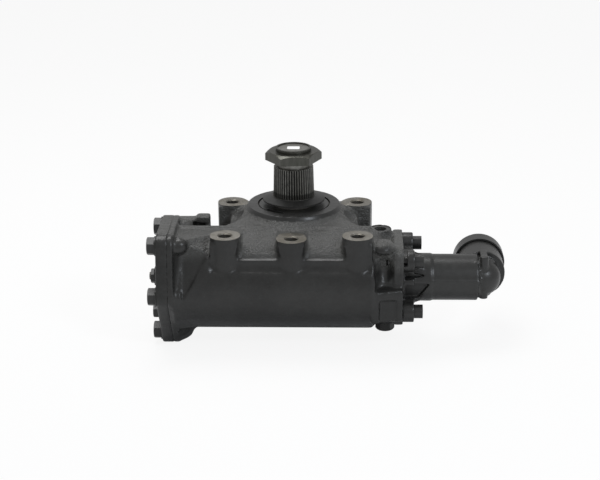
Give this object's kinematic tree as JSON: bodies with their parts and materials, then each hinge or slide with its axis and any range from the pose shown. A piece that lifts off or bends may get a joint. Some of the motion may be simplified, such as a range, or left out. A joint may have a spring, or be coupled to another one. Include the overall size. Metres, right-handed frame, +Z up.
{
  "type": "steering gear",
  "caption": "Hydraulic recirculating-ball steering gear box with a serrated sector shaft, five mounting bosses and a right-angle bevel input drive.",
  "frame": {"origin": "on the sector shaft's axis, at the large end of its serrated taper", "axes": "+Z up along the sector shaft, +X along the worm towards the bevel drive, +Y towards the input shaft's end"},
  "size_m": [0.4725, 0.217, 0.2467],
  "materials": {
    "painted_casting": "satin black paint",
    "machined_steel": "dark phosphated steel",
    "dust_cover": "satin black paint",
    "seal_rubber": "matt",
    "gear_steel": "ground",
    "bearing_steel": "polished"
  },
  "bodies": {
    "housing": {"main_housing": "painted_casting", "end_cover": "painted_casting", "end_cover_seal": "seal_rubber", "end_cover_bolts": "painted_casting", "limiter_screw": "machined_steel", "limiter_lock_nut": "painted_casting", "side_cover": "painted_casting", "side_cover_seal": "seal_rubber", "side_cover_bolts": "painted_casting", "adjusting_screw": "machined_steel", "adjusting_lock_nut": "painted_casting", "lower_sector_bearing": "bearing_steel", "upper_sector_bearing": "bearing_steel", "bearing_carrier": "machined_steel", "sector_shaft_seal": "seal_rubber", "retaining_ring": "machined_steel", "worm_bearing": "bearing_steel", "input_seal": "seal_rubber", "drive_bearing": "bearing_steel", "bevel_housing": "painted_casting", "bevel_housing_screws": "painted_casting", "input_bearing": "bearing_steel", "input_shaft_seal": "seal_rubber", "housing_plug": "painted_casting", "end_cover_plug": "painted_casting"},
    "sector": {"sector_shaft": "machined_steel", "pitman_nut": "machined_steel", "shaft_dust_cover": "dust_cover"},
    "piston": {"piston": "gear_steel", "piston_seal_ring": "seal_rubber", "circulating_balls": "gear_steel"},
    "worm": {"worm_shaft": "gear_steel", "valve_sleeve": "gear_steel", "valve_rotor": "gear_steel", "torsion_bar": "gear_steel", "worm_bevel_gear": "gear_steel"},
    "input": {"input_shaft": "machined_steel", "input_bevel_pinion": "gear_steel", "input_dust_cap": "painted_casting"}
  },
  "joints": [
    {"name": "sector_turn", "type": "hinge", "parent": "housing", "child": "sector", "pos_m": [0, 0, 0], "axis": [0, 0, 1], "range_deg": [-45, 45]},
    {"name": "piston_stroke", "type": "slide", "parent": "housing", "child": "piston", "axis": [1, 0, 0], "range_m": [-0.0252, 0.0252]},
    {"name": "worm_turn", "type": "hinge", "parent": "housing", "child": "worm", "pos_m": [0.1, -0.063, -0.0935], "axis": [1, 0, 0], "range_deg": [-755, 755]},
    {"name": "input_turn", "type": "hinge", "parent": "housing", "child": "input", "pos_m": [0.249, -0.03, -0.0935], "axis": [0, 1, 0], "range_deg": [-755, 755]}
  ],
  "couplings": [
    {"joint": "piston_stroke", "follows": "sector_turn", "m_per_rad": 0.032},
    {"joint": "worm_turn", "follows": "sector_turn", "ratio": -16.755},
    {"joint": "input_turn", "follows": "sector_turn", "ratio": -16.755}
  ]
}
